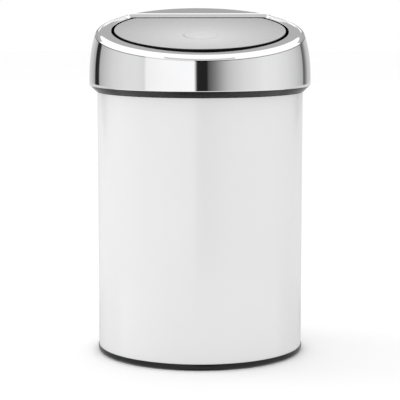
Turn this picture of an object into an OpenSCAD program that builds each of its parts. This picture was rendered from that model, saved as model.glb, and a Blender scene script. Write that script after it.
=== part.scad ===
// Countertop bin with a push-to-open lid: a round lacquered steel body, a lift-out bucket and a lid unit
// whose polished ring slopes down to the front. Millimetres, +Z up, front is -Y, origin at the centre of
// the base on the floor.

/* [Body] */
// Outer diameter of the steel body
body_d = 170; // [155:1:187]
// Height of the body's top edge above the floor
body_h = 217; // [195:0.2:238]
// Thickness of the body sheet
body_t = 0.6; // [0.5:0.05:0.8]
// Width of the lap seam inside the back of the body
seam_w = 8; // [6:0.5:12]

/* [Base] */
// Height of the plastic base ring that shows below the body
base_h = 5.4; // [4:0.2:9]
// How far the base ring stands out past the body
base_lip = 0.5; // [0.4:0.05:1]
// Height of the ledge that carries the bottom plate
ledge_z = 7.4; // [6:0.2:9]
// Height of the base ring's wall inside the body
upstand_z = 14; // [12.6:0.2:18]
// Thickness of the bottom plate
bottom_t = 0.6; // [0.5:0.05:1]

/* [Bucket] */
// Gap between the bucket's rim and the body
bucket_gap = 4; // [3.6:0.1:6]
// How much the radius of the bucket narrows towards its floor
bucket_taper = 5.6; // [3:0.2:9]
// Depth of the bucket's rim below the body's top edge
bucket_drop = 19; // [17:0.5:30]
// Wall of the bucket
bucket_t = 1.4; // [1:0.1:2]
// Radius of the handle's wire
bail_wire_r = 1.3; // [1.1:0.05:1.5]
// Wall of the handle's grip sleeve
grip_t = 0.8; // [0.6:0.05:1]
// Angle that the grip sleeve covers along the handle
grip_angle = 46; // [30:2:80]

/* [Collar] */
// Depth of the collar's tube inside the body
plug_depth = 13; // [10:0.5:15]
// Clearance between the collar's tube and the body
plug_gap = 1.25; // [1:0.05:1.4]
// Wall of the collar's tube
collar_t = 1.8; // [1.6:0.05:2.2]
// Height of the black band below the ring
band_h = 4.8; // [3:0.2:8]
// Thickness of the collar's shelf under the ring
shelf_t = 2.2; // [1.8:0.1:2.6]
// Depth of the collar's funnel below the ring's top plane
funnel_depth = 12; // [11:0.5:14]

/* [Ring] */
// Slope of the lid and of the top of the ring, in degrees
lid_tilt = 11.6; // [9:0.2:13]
// Height of the ring's top plane over the body's top edge, at the middle
ring_rise = 50.2; // [46:0.2:56]
// How far the ring's lower edge stands out past the body
ring_out = 6.4; // [6.2:0.2:8.4]
// How far the ring's side leans in towards its top
ring_lean = 6.2; // [5:0.2:6.8]
// Depth below the top plane over which the side curves in
curve_depth = 45; // [38:1:60]
// How strongly the side curves in towards the top
curve_power = 2.9; // [2.4:0.1:3.6]
// Radius of the ring's shoulder
shoulder_r = 3; // [2.4:0.1:3.6]
// Thickness of the ring's steel
ring_t = 0.8; // [0.6:0.05:1]
// Width of the ring's top between its crest and the opening
ring_w = 12; // [11:0.2:13.6]

/* [Lid] */
// Gap between the lid and the ring
lid_gap = 2.5; // [2:0.1:3.2]
// How far the lid panel stands above the ring beside the hinge
lid_rise = 0.3; // [0.1:0.05:0.6]
// Angle that the shut lid stands proud of the ring towards the front, in degrees
lid_set = 0.75; // [0.5:0.05:1]
// Thickness of the lid panel's steel
panel_t = 0.6; // [0.5:0.05:0.8]
// Thickness of the tray under the panel
tray_t = 1; // [0.8:0.05:1.2]
// Depth of the tray's rim below its plate
rim_depth = 6; // [4:0.5:7]
// Diameter of the shallow press mark in the panel
press_d = 28; // [20:1:36]
// Depth of the press mark
press_depth = 0.35; // [0.2:0.05:0.45]
// Distance of the press mark's middle from the lid's front edge
press_in = 49; // [40:1:56]

/* [Hinge] */
// Distance of the hinge axis inside the lid's round outline
hinge_in = 24.7; // [22.7:0.1:27.7]
// Depth of the hinge axis below the lid's face
axis_drop = 4.2; // [4:0.1:4.4]
// Radius of the hinge rod
rod_r = 1.25; // [1.1:0.05:1.35]
// Radial running clearance of the lid on the rod
rod_clear = 0.05; // [0.02:0.01:0.1]
// Gap behind the hinge axis to the fixed part of the ring
rear_gap = 4.8; // [4.4:0.1:6]
// Radius of the hinge springs' wire
hinge_wire_r = 0.35; // [0.3:0.05:0.4]
// Turns of each hinge spring
hinge_turns = 6; // [4:1:6]

/* [Latch] */
// Distance of the latch inside the lid's front edge
latch_in = 9; // [8:0.2:12]
// Travel of the latch slider above its rest position
latch_rise = 5; // [4:0.25:5.5]
// Travel of the latch slider below its rest position
latch_press = 2; // [1:0.25:2.5]
// Height of the latch spring at rest
spring_len = 10; // [9:0.5:12]
// Radius of the latch spring's wire
latch_wire_r = 0.4; // [0.3:0.05:0.45]
// Turns of the latch spring
latch_turns = 4; // [3:1:5]

/* [Hidden] */
$fn = 96;

far = 400;              // larger than the bin, for cutting tools
over = 1;               // how far a cut runs past what it cuts
gap = 0.4;              // clearance between pieces that move apart
seat = 0.05;            // assembly clearance between fixed round pieces

// Body and base
body_r = body_d / 2;
body_in = body_r - body_t;
foot_z = 1.6;           // floor of the groove that the body's lower edge stands in
upstand_out = body_in - seat;
upstand_in = upstand_out - 1.85;
ledge_w = 2;
base_chamfer = 0.6;
plate_r = upstand_in - seat;
plate_edge_h = 5;
seam_z0 = upstand_z + 1;
seam_z1 = body_h - plug_depth - 5;

// Bucket and its handle
collar_r = body_in - plug_gap;
collar_in = collar_r - collar_t;
floor_z = ledge_z + bottom_t + gap;
rim_z = body_h - bucket_drop;
rim_t = 2;
rim_out = 1.6;
rim_lip_t = 1;
rim_lip_h = 6;
rim_r = body_in - bucket_gap;
bucket_top_r = rim_r - rim_out;
bucket_floor_r = bucket_top_r - bucket_taper;
grip_r = bail_wire_r + grip_t;
bail_r = min(collar_in - gap - grip_r, rim_r - bail_wire_r);
bail_z = rim_z + grip_r + 0.3;
bail_end = 1;
ear_t = 1.4;
ear_r = 4;
ear_out = bail_r - bail_wire_r - gap;

// Collar and ring, in plan
band_z = body_h + gap;
ring_z = band_z + band_h;
tube_z = band_z - plug_depth;
tube_lead = 0.5;
band_out = 0.9;         // how far the band's lower edge stands out past the body
band_in = 0.6;          // how far the band's upper edge stays inside the ring
skirt_r = body_r + ring_out;
crest_r = skirt_r - ring_lean;
plane_z = body_h + ring_rise;

// Opening and lid, in the sloping plane
hole_r = crest_r - ring_w;
lid_r = hole_r - lid_gap;
axis_y = lid_r - hinge_in;
axis_z = lid_rise - axis_drop;
panel_edge_y = axis_y - 0.4;
tray_edge_y = panel_edge_y - panel_t;
chord_y = axis_y + rear_gap;
corner_x = sqrt(pow(lid_r, 2) - pow(axis_y + axis_z - gap, 2)) + gap;
corner_y = axis_y - 20;   // from here back the opening's sides run straight
tray_top = lid_rise - panel_t;
tray_under = tray_top - tray_t;
tray_r = lid_r - panel_t;
tray_rim_t = 1.6;
tray_rim_back = 10;     // how far in front of the hinge axis the tray's rim ends
panel_bend_h = 1.2;
press_y = lid_r - press_in;
press_ball_r = (pow(press_d / 2, 2) + pow(press_depth, 2)) / (2 * press_depth);

// Edge of the ring's opening
hem_t = 0.6;
hem_h = 2;
hem_round = 0.3;
lip_h = 2.4;            // height of the ridge behind the lid
lip_lean = 2.4;         // how far the ridge's front face leans back
lip_w = 4;              // where the ridge's top meets the flat behind it
lip_side = 2.2;
edge_w = 1;

// Ring's sections, along the straight rear edge and then round the front
corner_angle = atan2(chord_y, corner_x);
round_angle = acos(corner_x / hole_r);
rear_steps = 24;
front_steps = 58;
side_steps = 6;
side_bias = 1.5;

// Inside of the collar
frame_hole = hem_t + 0.2;
funnel_t = 1.6;
shelf_z = -ring_t - shelf_t;
ledge_out = frame_hole + 0.8;
ledge_in = frame_hole - 4.5;
ledge_t = 1.6;
funnel_back_y = axis_y - 8;
pad_r = 1.7;
pad_h = 1.2;
pad_in = 1;
pad_angles = [-62, -118];

// Hinge, across the bin
knuckle_r = axis_drop - panel_t - tray_t - 0.3;
knuckle_back = 0.3;
knuckle_web = 1;
web_in = 0.1;
lug_r = axis_drop - panel_t - tray_t - gap;
lug_w = 4;
lug_foot = 1;
lug_drop = 0.3;
side_gap = 0.4;
spring_space = 13.6;
rod_past = 1.2;
rod_half = corner_x - 5.95;
clip_t = 0.6;
clip_gap = 0.1;
outer_lug_x = rod_half - rod_past - lug_w;
outer_knuckle_w = 8.6;
outer_knuckle_x = outer_lug_x - side_gap - outer_knuckle_w;
centre_half = outer_knuckle_x - spring_space - lug_w - side_gap;
bracket_y = axis_y + 7;
bracket_len = 10;
bracket_t = 2;
bracket_z = shelf_z - bracket_t;
bracket_half = rod_half - 2;
bracket_screw_r = 1.5;
bracket_screw_y = bracket_y + 6.5;
bracket_screw_xs = [bracket_half - 4.2, centre_half - 4];

// Hinge springs
spring_x = centre_half + side_gap + lug_w + 0.8;
hinge_coil_r = rod_r + hinge_wire_r + 0.1;
hinge_pitch = 1.6;
hinge_sides = 8;
hinge_start = 30;
leg_gap = 0.55;
leg_z = bracket_z - axis_z - hinge_wire_r - leg_gap;
leg_bend = 3.9;
leg_end = 9;

// Latch, square to the slope
latch_y = lid_r - latch_in;
head_w = 10;
head_l = 4;
head_h = 4;
head_edge = 1.6;
head_top = -18;
stem_w = 6;
striker_t = 2;
striker_top = head_top - (axis_y + latch_y) * sin(lid_set);
striker_l = 7;
striker_past = 3;
striker_screw_x = 7.5;
striker_screw_r = 1;
striker_screw_l = 2.8;
cup_x = head_w / 2 + 0.6;
cup_wall = 2;
cup_front = 4;
cup_back = 2.5;
cup_play = 2.9;
cup_floor_top = head_top - head_h - latch_rise - cup_play;
cup_floor_t = 2;
cup_top = head_top - 2;
cup_y0 = -latch_y - cup_front;
cup_y1 = -latch_y + cup_back;
slide_clear = 0.3;
house_wall = 2;
house_x = cup_x + cup_wall + slide_clear;
house_y0 = cup_y0 - cup_wall - slide_clear;
house_y1 = cup_y1 + cup_wall + slide_clear;
house_floor_top = cup_floor_top - cup_floor_t - spring_len;
house_z = house_floor_top - house_wall;
ear_plate_t = 2.5;
ear_z0 = head_top - 13;
ear_z1 = head_top - 5;
ear_face = house_y0 - house_wall;
latch_screw_r = 1.25;
latch_screw_l = 6;
latch_screw_x = house_x + house_wall + 2.4;
latch_half = latch_screw_x + 2.6;
block_front = hole_r + frame_hole + 1.2;

// Latch spring and claws
latch_coil_r = 3;
coil_rise = 1.2;
coil_lead = 0.8;
coil_sides = 8;
claw_t = 1.2;
claw_w = 3.2;
claw_x = cup_x + 0.4;
hook_z = head_top + 0.6;
hook_in = stem_w / 2 + 0.6;
hook_lip = 0.8;
hook_h = 2.2;

// Ribs under the tray
rib_t = 1.2;
rib_h = 3;
rib_in = 1;
rib_back_y = axis_y - 12;
rib_front_gap = 25;
rib_front_y = rib_front_gap - latch_y;
rib_xs = [outer_lug_x + 1, centre_half - 4];

echo(hinge_axis_y = axis_y * cos(lid_tilt) - axis_z * sin(lid_tilt));
echo(hinge_axis_z = plane_z + axis_y * sin(lid_tilt) + axis_z * cos(lid_tilt));
echo(handle_axis_z = bail_z);
echo(latch_floor_y = -latch_y * cos(lid_tilt) - house_floor_top * sin(lid_tilt));
echo(latch_floor_z = plane_z - latch_y * sin(lid_tilt) + house_floor_top * cos(lid_tilt));
echo(hinge_spring_gap = self_gap(hinge_spring_path(), hinge_wire_r, 5));
echo(latch_spring_gap = self_gap(latch_spring_path(), latch_wire_r, 5));

// Moves its children into the lid's plane: x across, y up the slope, z square to it
module on_slope() translate([0, 0, plane_z]) rotate([lid_tilt, 0, 0]) children();

// The same for the lid's own pieces, turned about the hinge axis to how the shut lid stands
module on_lid()
    on_slope() translate([0, axis_y, axis_z]) rotate([-lid_set, 0, 0])
        translate([0, -axis_y, -axis_z]) children();

// Outline of the lid opening in the sloping plane, grown all round
module opening(grow) {
    intersection() {
        circle(r = hole_r + grow);
        translate([-far / 2, chord_y + grow - far]) square(far);
    }
    translate([-corner_x - grow, corner_y]) square([2 * (corner_x + grow), chord_y + grow - corner_y]);
}

// Round piece with a straight rear edge, standing from z0 to z1
module cut_disc(r, edge_y, z0, z1)
    intersection() {
        translate([0, 0, z0]) cylinder(r = r, h = z1 - z0);
        translate([-far / 2, edge_y - far, -far / 2]) cube(far);
    }

// Large sphere whose lowest part forms the press mark, lowered by a distance
module press_sphere(lower)
    translate([0, -press_y, lid_rise - press_depth - lower + press_ball_r]) sphere(r = press_ball_r);

// Bore along X through everything that the hinge rod passes
module rod_bore(r) translate([-far / 2, axis_y, axis_z]) rotate([0, 90, 0]) cylinder(r = r, h = far);

// Closed tube along a path; up holds a direction for each point that is roughly square to the path
module tube(path, up, r, sides = 6) {
    n = len(path);
    dirs = [for (i = [0:n - 1]) unit(path[min(i + 1, n - 1)] - path[max(i - 1, 0)])];
    points = [for (i = [0:n - 1], k = [0:sides - 1])
        let (u = unit(up[i] - (up[i] * dirs[i]) * dirs[i]), v = cross(dirs[i], u), a = 360 * k / sides)
        path[i] + r * (cos(a) * u + sin(a) * v)];
    walls = [for (i = [0:n - 2], k = [0:sides - 1])
        let (a = i * sides + k, b = i * sides + (k + 1) % sides)
        each [[a, a + sides, b], [b, a + sides, b + sides]]];
    first = [for (k = [1:sides - 2]) [0, k, k + 1]];
    last = [for (k = [1:sides - 2]) [(n - 1) * sides, (n - 1) * sides + k + 1, (n - 1) * sides + k]];
    polyhedron(points, concat(first, walls, last));
}
function unit(v) = v / norm(v);

// Least gap between turns of a path's tube, leaving out points less than skip steps apart
function self_gap(path, r, skip) =
    min([for (i = [0:len(path) - 1 - skip], j = [i + skip:len(path) - 1]) norm(path[i] - path[j])]) - 2 * r;

// Pan-head screw with a crossed recess, its head above z = 0 and its shank below
module screw(r, length, head_r, head_h) {
    slot = [head_r * 1.2, r * 0.44, head_h];
    translate([0, 0, -length]) cylinder(r = r, h = length);
    difference() {
        cylinder(r = head_r, h = head_h);
        for (a = [0, 90])
            rotate([0, 0, a]) translate([-slot[0] / 2, -slot[1] / 2, head_h * 0.45]) cube(slot);
    }
}

// ---- Body ----

// Rolled sheet with a lap seam inside at the back
module outer_shell() {
    seam_angle = seam_w / body_r * 180 / PI;
    color("whitesmoke") {
        rotate_extrude() translate([body_in, foot_z]) square([body_t, body_h - foot_z]);
        rotate([0, 0, 90 - seam_angle / 2]) rotate_extrude(angle = seam_angle)
            translate([body_in - body_t, seam_z0]) square([body_t, seam_z1 - seam_z0]);
    }
}

// Plastic ring that the body's lower edge stands in
module base_ring() {
    outer = body_r + base_lip;
    inner = upstand_in - ledge_w;
    color("#2b2b2d") rotate_extrude() polygon([
        [inner, 0], [outer - base_chamfer, 0], [outer, base_chamfer], [outer, base_h],
        [body_r + seat, base_h], [body_r + seat, foot_z], [upstand_out, foot_z], [upstand_out, upstand_z],
        [upstand_in, upstand_z], [upstand_in, ledge_z], [inner, ledge_z]
    ]);
}

// Pressed disc with an upturned edge, lying on the base ring's ledge
module bottom_plate() {
    edge_z = ledge_z + plate_edge_h;
    color("silver") rotate_extrude() polygon([
        [0, ledge_z], [plate_r, ledge_z], [plate_r, edge_z], [plate_r - bottom_t, edge_z],
        [plate_r - bottom_t, ledge_z + bottom_t], [0, ledge_z + bottom_t]
    ]);
}

// ---- Bucket ----

// Tapered bucket with a turned-out rim and two ears for the handle
module inner_bucket() {
    under = rim_z - rim_t;
    lip_r = rim_r - rim_lip_t;
    color("#4a4b4e") difference() {
        union() {
            rotate_extrude() polygon([
                [0, floor_z], [bucket_floor_r, floor_z], [bucket_top_r, under], [lip_r, under],
                [lip_r, under - rim_lip_h], [rim_r, under - rim_lip_h], [rim_r, rim_z],
                [bucket_top_r - bucket_t, rim_z], [bucket_floor_r - bucket_t, floor_z + bucket_t],
                [0, floor_z + bucket_t]
            ]);
            for (side = [0, 1]) mirror([side, 0, 0]) translate([ear_out - ear_t, 0, 0]) {
                translate([0, -ear_r, under]) cube([bucket_top_r - ear_out + ear_t, 2 * ear_r, rim_t]);
                translate([0, -ear_r, under]) cube([ear_t, 2 * ear_r, bail_z - under]);
                translate([0, 0, bail_z]) rotate([0, 90, 0]) cylinder(r = ear_r, h = ear_t);
            }
        }
        for (side = [0, 1]) mirror([side, 0, 0])
            translate([ear_out - ear_t - over, 0, bail_z]) rotate([0, 90, 0])
                cylinder(r = bail_wire_r + seat, h = ear_t + 2 * over);
    }
}

// Wire handle, folded back onto the rim, with its ends turned inwards through the ears
module bucket_handle() {
    pin = bail_r - ear_out + ear_t + bail_end;
    color("#b8babd") translate([0, 0, bail_z]) {
        rotate_extrude(angle = 180) translate([bail_r, 0]) circle(r = bail_wire_r);
        for (side = [0, 1]) mirror([side, 0, 0]) translate([bail_r, 0, 0]) {
            sphere(r = bail_wire_r);
            rotate([0, -90, 0]) cylinder(r = bail_wire_r, h = pin);
        }
    }
}

// Sleeve round the middle of the handle
module handle_grip() {
    color("#2b2b2d") translate([0, 0, bail_z]) rotate([0, 0, 90 - grip_angle / 2])
        rotate_extrude(angle = grip_angle) translate([bail_r, 0]) difference() {
            circle(r = grip_r);
            circle(r = bail_wire_r + seat);
        }
}

// ---- Lid unit ----

// Black collar: a tube that plugs into the body, the shelf under the ring, the funnel and the latch's block
module lid_frame() {
    color("#232325") {
        difference() {
            rotate_extrude() polygon([
                [collar_in + tube_lead, tube_z], [collar_r - tube_lead, tube_z],
                [collar_r, tube_z + 2 * tube_lead], [collar_r, far],
                [collar_in, far], [collar_in, tube_z + 2 * tube_lead]
            ]);
            on_slope() translate([-far / 2, -far / 2, -ring_t]) cube(far);
        }
        intersection() {
            translate([0, 0, ring_z]) cylinder(r = collar_r, h = far);
            on_slope() translate([0, 0, shelf_z]) linear_extrude(shelf_t) difference() {
                circle(r = 2 * collar_r - hole_r);
                opening(frame_hole);
            }
        }
        on_slope() {
            difference() {
                translate([0, 0, -funnel_depth]) linear_extrude(funnel_depth - ring_t) difference() {
                    opening(frame_hole + funnel_t);
                    opening(frame_hole);
                }
                funnel_back();
            }
            difference() {
                translate([0, 0, -funnel_depth]) cylinder(r = hole_r + ledge_out, h = ledge_t);
                translate([0, 0, -far / 2]) cylinder(r = hole_r + ledge_in, h = far);
                funnel_back();
            }
            latch_block();
        }
    }
}

// The rear of the opening, where the hinge needs the space
module funnel_back() translate([-far / 2, funnel_back_y, -far / 2]) cube(far);

// Upright block on the front of the collar that the latch is screwed to
module latch_block() {
    depth = block_front + ear_face;
    height = ledge_t / 2 - funnel_depth - ear_z0;
    difference() {
        translate([-latch_half, -block_front, ear_z0]) cube([2 * latch_half, depth, height]);
        latch_screw_places() cylinder(r = latch_screw_r, h = 2 * latch_screw_l, center = true);
    }
}

// Axes of the two latch screws, with +Z towards the inside of the bin
module latch_screw_places()
    for (side = [-1, 1])
        translate([side * latch_screw_x, ear_face, (ear_z0 + ear_z1) / 2]) rotate([-90, 0, 0]) children();

// Bevelled black band pressed round the collar's tube; the ring stands on it
module collar_band() {
    color("#1e1e20") rotate_extrude() polygon([
        [collar_r + seat, band_z], [body_r + band_out, band_z],
        [skirt_r - band_in, ring_z], [collar_r + seat, ring_z]
    ]);
}

// Polished ring, as one skin: curved side, flat sloping top, the lid opening's edge, and back inside
module lid_ring() {
    rear = [for (k = [0:rear_steps]) ring_section(rear_angle(k), k == 0 || k == rear_steps ? 0 : 1)];
    front = [for (k = [0:front_steps]) ring_section(front_angle(k), 0)];
    rings = concat(rear, front);
    m = len(rings);
    n = len(rings[0]);
    faces = [for (i = [0:m - 1], j = [0:n - 1])
        let (here = i * n, next = (i + 1) % m * n, k = (j + 1) % n)
        each [[here + j, next + j, here + k], [here + k, next + j, next + k]]];
    color("#d0d2d4") polyhedron([for (ring = rings) each ring], faces);
}

function rear_angle(k) = corner_angle + (180 - 2 * corner_angle) * k / rear_steps;
function front_angle(k) = 180 - round_angle + (180 + 2 * round_angle) * k / front_steps;

// Distance from the middle to the edge of the lid opening in the sloping plane, grown by a width
function opening_reach(angle, grow) =
    let (across = abs(cos(angle)), back = sin(angle), round = hole_r + grow,
        square = back > 0.5 && across > 0 ? max(round, (corner_x + grow) / across) : round)
    back > 0 ? min(square, (chord_y + grow) / back) : round;

// Point beside the lid opening, in the bin's own frame
function edge_point(angle, grow, z) =
    let (r = opening_reach(angle, grow), y = r * sin(angle))
    [r * cos(angle), y * cos(lid_tilt) - z * sin(lid_tilt), plane_z + y * sin(lid_tilt) + z * cos(lid_tilt)];

// Point of the ring's side in the bin's own frame, at a plan radius and a depth below the top plane
function side_point(angle, r, depth) =
    [r * cos(angle), r * sin(angle), plane_z + r * sin(angle) * tan(lid_tilt) - depth];

// Radius of the ring's side at a depth below its top plane
function side_r(depth) = skirt_r - ring_lean * pow(1 - min(depth, curve_depth) / curve_depth, curve_power);

// Closed section of the ring at an angle; rear is 1 along the ridge behind the lid
function ring_section(angle, rear) =
    let (
        full = plane_z + skirt_r * sin(angle) * tan(lid_tilt) - ring_z,
        depths = [for (k = [1:side_steps - 1])
            shoulder_r + (full - shoulder_r) * pow(k / side_steps, side_bias)],
        foot_r = side_r(full),
        middle = side_r(shoulder_r) - shoulder_r,
        inner_r = shoulder_r - ring_t,
        under = ring_t + (1 - rear) * (hem_h - ring_t)
    )
    concat(
        [edge_point(angle, 0, -under), edge_point(angle, rear * lip_lean, rear * (lip_h + 0.1) - hem_round)],
        [edge_point(angle, 0.4 + rear * lip_lean, rear * lip_h)],
        [edge_point(angle, edge_w + rear * (lip_w - edge_w), rear * lip_side)],
        [side_point(angle, middle, 0)],
        [for (a = [70, 50, 30, 12])
            side_point(angle, middle + shoulder_r * cos(a), shoulder_r * (1 - sin(a)))],
        [for (depth = depths) side_point(angle, side_r(depth), depth)],
        [[foot_r * cos(angle), foot_r * sin(angle), ring_z]],
        [[(foot_r - ring_t) * cos(angle), (foot_r - ring_t) * sin(angle), ring_z]],
        [for (k = [side_steps - 2:-1:0]) side_point(angle, side_r(depths[k]) - ring_t, depths[k])],
        [for (a = [12, 50])
            side_point(angle, middle + inner_r * cos(a), shoulder_r - inner_r * sin(a))],
        [side_point(angle, middle, ring_t / cos(lid_tilt)), edge_point(angle, hem_t + rear, -ring_t)],
        [edge_point(angle, hem_t, rear * 0.01 - under)]
    );

// Bracket under the rear of the collar with four lugs that hold the hinge rod
module hinge_bracket() {
    color("#9a9da0") on_slope() difference() {
        union() {
            translate([-bracket_half, bracket_y, bracket_z]) cube([2 * bracket_half, bracket_len, bracket_t]);
            for (x = [centre_half + side_gap, outer_lug_x], side = [0, 1])
                mirror([side, 0, 0]) translate([x, 0, 0]) rotate([90, 0, 90]) linear_extrude(lug_w) {
                    translate([axis_y, axis_z]) circle(r = lug_r);
                    polygon([
                        [axis_y, axis_z - lug_drop], [bracket_y + lug_foot, shelf_z - 0.6],
                        [bracket_y + lug_foot, bracket_z], [axis_y, axis_z - lug_r]
                    ]);
                }
        }
        rod_bore(rod_r);
        bracket_screw_places()
            cylinder(r = bracket_screw_r + seat, h = 2 * (bracket_t + over), center = true);
    }
}

// Axes of the bracket's screws, with +Z away from the collar
module bracket_screw_places()
    for (x = bracket_screw_xs, side = [-1, 1])
        translate([side * x, bracket_screw_y, bracket_z]) rotate([180, 0, 0]) children();

module bracket_screws() {
    color("#c4c6c8") on_slope() bracket_screw_places()
        screw(bracket_screw_r, bracket_t, bracket_screw_r + 1.3, bracket_screw_r + 0.1);
}

// Straight rod through the bracket's lugs and the tray's knuckles
module hinge_rod() {
    color("#c9cbce") on_slope()
        translate([-rod_half, axis_y, axis_z]) rotate([0, 90, 0]) cylinder(r = rod_r, h = 2 * rod_half);
}

// Spring clips that stop the rod from sliding out of the end lugs
module rod_clips() {
    x = outer_lug_x + lug_w + clip_gap;
    color("#8f9295") on_slope() for (side = [0, 1]) mirror([side, 0, 0]) difference() {
        translate([x, axis_y, axis_z]) rotate([0, 90, 0]) cylinder(r = lug_r, h = clip_t);
        rod_bore(rod_r);
        translate([x - over, axis_y - rod_r * 0.7, axis_z - 2 * lug_r])
            cube([clip_t + 2 * over, rod_r * 1.4, 2 * lug_r]);
    }
}

// Path of the right torsion spring: a leg under the bracket, the turns round the rod, a leg under the tray
function hinge_spring_path() =
    let (
        count = hinge_sides * hinge_turns,
        sweep = 360 * (hinge_turns - 1) + 90 - hinge_start,
        turn = [for (i = [0:count]) let (a = hinge_start + sweep * i / count)
            [spring_x + hinge_wire_r + sweep * i / count / 360 * hinge_pitch, hinge_coil_r * cos(a),
                hinge_coil_r * sin(a)]],
        x0 = turn[0][0],
        x1 = turn[count][0]
    )
    concat([[x0, leg_end, leg_z], [x0, leg_end - 1, leg_z], [x0, leg_bend, leg_z]], turn,
        [[x1, 1 - leg_end, hinge_coil_r], [x1, -leg_end, hinge_coil_r]]);

module torsion_spring() {
    path = hinge_spring_path();
    color("#b9bbbd") on_slope() translate([0, axis_y, axis_z])
        tube(path, [for (p = path) [1, 0, 0]], hinge_wire_r);
}

module lid_spring_right() torsion_spring();
module lid_spring_left() mirror([1, 0, 0]) torsion_spring();

// Soft pads on the collar's ledge that the tray's rim meets when the lid is pushed
module lid_bumpers() {
    color("#3a3a3c") on_slope() for (a = pad_angles)
        rotate([0, 0, a]) translate([tray_r - pad_in, 0, ledge_t - funnel_depth])
            cylinder(r = pad_r, h = pad_h);
}

// ---- Latch ----

// Open box that guides the latch slider, screwed to the collar by two ears
module latch_housing() {
    color("#303033") on_slope() difference() {
        union() {
            translate([-house_x - house_wall, ear_face, house_z])
                cube([2 * (house_x + house_wall), house_y1 - house_y0 + 2 * house_wall, head_top - house_z]);
            translate([-latch_half, ear_face, ear_z0]) cube([2 * latch_half, ear_plate_t, ear_z1 - ear_z0]);
        }
        translate([-house_x, house_y0, house_floor_top]) cube([2 * house_x, house_y1 - house_y0, far]);
        latch_screw_places() cylinder(r = latch_screw_r + seat, h = 2 * latch_screw_l, center = true);
    }
}

module latch_screws() {
    color("#c4c6c8") on_slope() latch_screw_places() translate([0, 0, ear_plate_t])
        screw(latch_screw_r, latch_screw_l, latch_screw_r + 1.05, latch_screw_r + 0.15);
}

// Path of the compression spring: straight square ends and even turns
function latch_spring_path() =
    let (
        count = coil_sides * latch_turns,
        height = spring_len - 2 * coil_rise,
        turn = [for (i = [0:count]) let (a = 360 * i / coil_sides)
            [latch_coil_r * cos(a), latch_coil_r * sin(a), coil_rise + height * i / count]]
    )
    concat([[latch_coil_r, 0, seat], [latch_coil_r, 0, coil_lead]], turn,
        [[latch_coil_r, 0, spring_len - coil_lead], [latch_coil_r, 0, spring_len - seat]]);

module latch_spring() {
    path = latch_spring_path();
    color("#b9bbbd") on_slope() translate([0, (cup_y0 + cup_y1) / 2, house_floor_top])
        tube(path, [for (p = path) [p[0], p[1], 0]], latch_wire_r);
}

// Deep cup that takes the striker's head
module latch_slider() {
    base = cup_floor_top - cup_floor_t;
    color("#55565a") on_slope() difference() {
        translate([-cup_x - cup_wall, cup_y0 - cup_wall, base])
            cube([2 * (cup_x + cup_wall), cup_y1 - cup_y0 + 2 * cup_wall, cup_top - base]);
        translate([-cup_x, cup_y0, cup_floor_top]) cube([2 * cup_x, cup_y1 - cup_y0, far]);
    }
}

// Two springy claws on the slider that close over the striker's head
module latch_claws() {
    color("#d8d9da") on_slope()
        for (side = [0, 1]) mirror([side, 0, 0])
            translate([0, (claw_w - latch_y * 2) / 2, 0]) rotate([90, 0, 0]) linear_extrude(claw_w) polygon([
                [claw_x, cup_top], [claw_x + claw_t, cup_top], [claw_x + claw_t, hook_z + hook_h],
                [cup_x, hook_z + hook_h], [hook_in, hook_z + hook_lip], [hook_in, hook_z], [claw_x, hook_z]
            ]);
}

// ---- Lid ----

// Brushed steel sheet with a straight rear edge bent down and a shallow round press mark
module lid_panel() {
    color("#c3c4c4") on_lid() {
        difference() {
            union() {
                cut_disc(lid_r, panel_edge_y, tray_top, lid_rise);
                intersection() {
                    press_sphere(panel_t);
                    translate([0, -press_y, tray_top - press_depth]) cylinder(r = press_d, h = press_depth);
                }
            }
            press_sphere(0);
        }
        intersection() {
            translate([-far / 2, panel_edge_y - panel_t, lid_rise - panel_bend_h])
                cube([far, panel_t, panel_bend_h - panel_t]);
            cylinder(r = lid_r, h = far);
        }
    }
}

// Tray under the panel with its rim, ribs, hinge knuckles and a seat for the striker
module lid_tray() {
    color("#26262a") on_lid() difference() {
        union() {
            difference() {
                cut_disc(tray_r, tray_edge_y, tray_under, tray_top);
                press_sphere(panel_t);
            }
            difference() {
                cut_disc(tray_r, axis_y - tray_rim_back, tray_under - rim_depth, tray_under);
                translate([0, 0, -far / 2]) cylinder(r = tray_r - tray_rim_t, h = far);
            }
            tray_ribs();
            knuckle(-centre_half, 2 * centre_half);
            for (side = [0, 1]) mirror([side, 0, 0]) knuckle(outer_knuckle_x, outer_knuckle_w);
        }
        rod_bore(rod_r + rod_clear);
        striker_screw_places() cylinder(r = striker_screw_r, h = 2 * striker_screw_l, center = true);
    }
}

// Barrel round the hinge rod, joined to the tray by a web in front of it
module knuckle(x, w) {
    translate([x, axis_y, axis_z]) rotate([0, 90, 0]) cylinder(r = knuckle_r, h = w);
    translate([x, axis_y - knuckle_r - knuckle_web, axis_z])
        cube([w, knuckle_r + knuckle_web - knuckle_back, tray_under + web_in - axis_z]);
}

// Stiffening ribs under the tray, clear of the hinge springs and the latch
module tray_ribs() {
    z = tray_under - rib_h;
    for (x = rib_xs, side = [-1, 1]) {
        front = sqrt(pow(tray_r, 2) - pow(x, 2)) - rib_in;
        translate([side * x - rib_t / 2, -front, z]) cube([rib_t, front + rib_back_y, rib_h]);
    }
    for (y = [rib_front_y, (rib_front_y + rib_back_y) / 2, rib_back_y]) {
        half = sqrt(pow(tray_r, 2) - pow(y, 2)) - rib_in;
        translate([-half, y - rib_t / 2, z]) cube([2 * half, rib_t, rib_h]);
    }
}

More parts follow.
